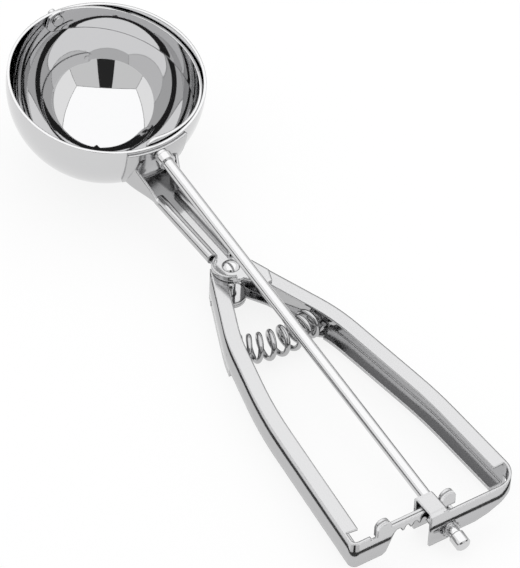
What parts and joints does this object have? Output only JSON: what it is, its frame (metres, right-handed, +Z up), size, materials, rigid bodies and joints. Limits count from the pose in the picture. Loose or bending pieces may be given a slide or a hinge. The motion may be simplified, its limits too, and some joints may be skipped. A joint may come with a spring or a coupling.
{
  "type": "lever ice cream scoop",
  "caption": "Hemispherical ice cream scoop whose squeezed handle turns a scraper band round the inside of the bowl through a rack and pinion.",
  "frame": {"origin": "lowest point of the bowl, straight under its centre", "axes": "+X from the bowl to the handle ends, +Z up out of the bowl; the arms lie in planes parallel to XY"},
  "size_m": [0.2102, 0.0574, 0.0369],
  "materials": {
    "bowl_steel": "mirror polished stainless steel",
    "sheet_steel": "polished stainless steel sheet",
    "rod_steel": "polished drawn stainless steel",
    "cut_steel": "satin stainless steel with stamped edges",
    "spring_steel": "bright spring wire"
  },
  "bodies": {
    "frame": {"bowl": "bowl_steel", "stem": "sheet_steel", "right_arm": "sheet_steel", "pivot_rivet": "rod_steel", "return_spring": "spring_steel"},
    "lever": {"left_arm": "sheet_steel", "rack": "cut_steel"},
    "sweeper": {"scraper": "sheet_steel", "front_pivot_pin": "rod_steel", "scraper_rod": "rod_steel", "rod_collar": "rod_steel", "pinion": "cut_steel", "retaining_washer": "cut_steel", "rod_end_cap": "rod_steel"}
  },
  "joints": [
    {"name": "squeeze", "type": "hinge", "parent": "frame", "child": "lever", "pos_m": [0.066, 0, 0.0048], "axis": [0, 0, 1], "range_deg": [0, 5.78], "stiffness_Nm_per_rad": 6, "springref_deg": -5.73, "deforming": ["return_spring"]},
    {"name": "sweep", "type": "hinge", "parent": "frame", "child": "sweeper", "pos_m": [0, 0, 0.0284], "axis": [0.9904, 0, -0.1383], "range_deg": [-180, 0]}
  ],
  "couplings": [
    {"joint": "sweep", "follows": "squeeze", "ratio": -31.114}
  ]
}
